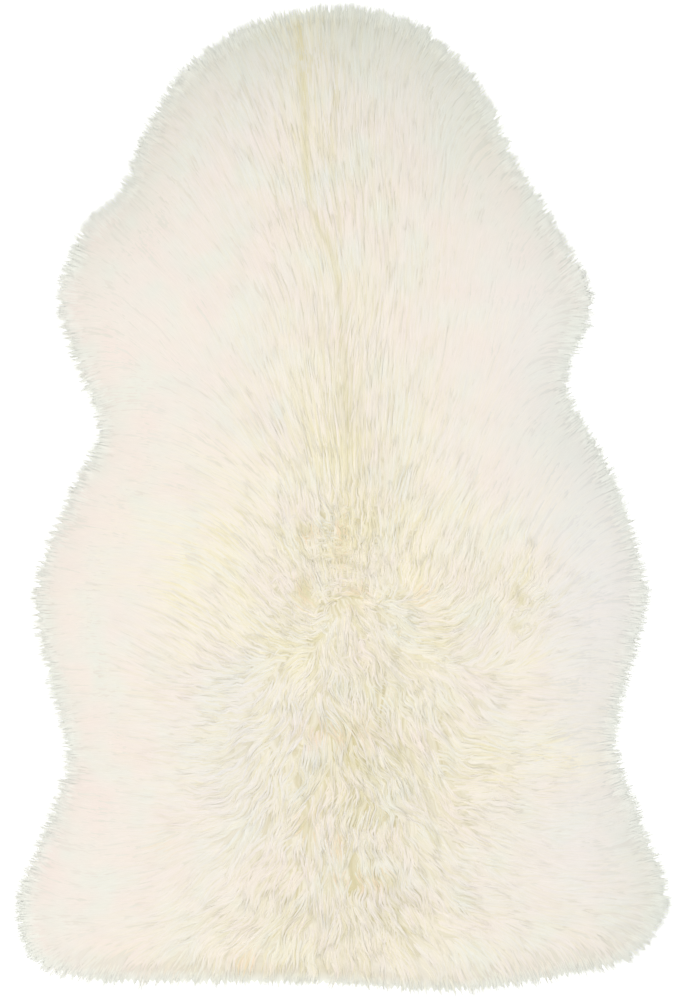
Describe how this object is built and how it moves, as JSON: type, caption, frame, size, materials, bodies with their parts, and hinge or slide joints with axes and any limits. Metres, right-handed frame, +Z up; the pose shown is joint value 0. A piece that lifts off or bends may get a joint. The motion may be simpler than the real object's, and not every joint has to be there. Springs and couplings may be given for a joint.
{
  "type": "sheepskin rug",
  "caption": "Single sheepskin rug lying flat on the floor: one tanned skin with long cream-white wool, a domed neck end, waisted sides and a broad, nearly straight tail end.",
  "frame": {"origin": "the middle of the rug's box, on the floor that it lies on", "axes": "+Z up; +Y runs along the backbone from the tail end to the domed neck end, the rug's longest extent; +X across the rug, to the right seen from above with the neck end up"},
  "size_m": [0.6298, 0.9558, 0.0611],
  "materials": {
    "wool": "long natural white sheep's wool, combed, matt with a soft sheen",
    "skin": "suede side of the tanned skin, on the rug's underside"
  },
  "bodies": {
    "root": {"sheepskin": "wool"}
  },
  "joints": []
}
